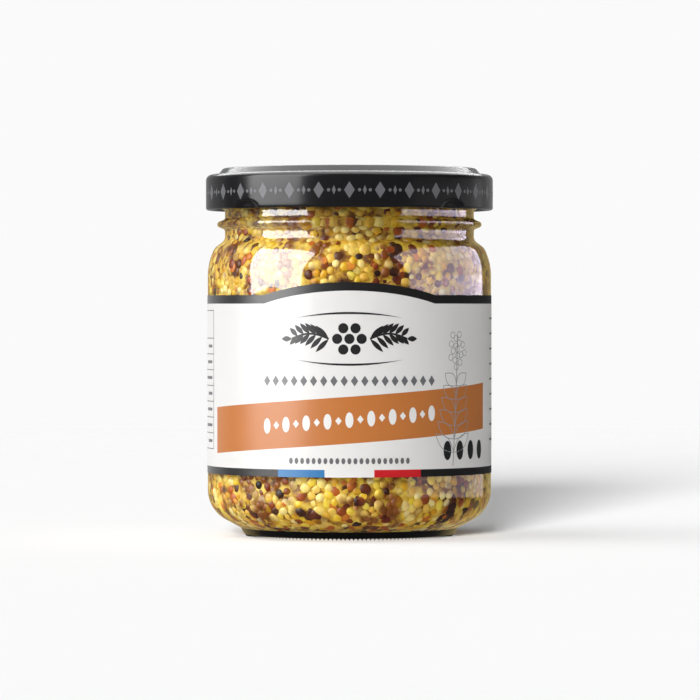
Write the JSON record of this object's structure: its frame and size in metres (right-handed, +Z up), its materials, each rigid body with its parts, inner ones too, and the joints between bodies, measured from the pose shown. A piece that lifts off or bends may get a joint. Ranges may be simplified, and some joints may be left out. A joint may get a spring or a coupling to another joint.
{
  "type": "mustard jar",
  "caption": "Squat round glass jar of wholegrain mustard with a neck ring, a black twist-off metal lid and a white paper label wrapped round it.",
  "frame": {"origin": "centre of the foot ring, on the surface that the jar stands on", "axes": "+Z up along the jar's axis, -Y towards the label's front"},
  "size_m": [0.0686, 0.0688, 0.088],
  "materials": {
    "glass": "clear polished glass",
    "mustard": "wet paste with whole seeds",
    "label_paper": "coated white paper with printed fields",
    "lid_enamel": "black gloss enamel on steel"
  },
  "bodies": {
    "root": {"glass_jar": "glass", "mustard": "mustard", "label": "label_paper", "lid": "lid_enamel"}
  },
  "joints": []
}
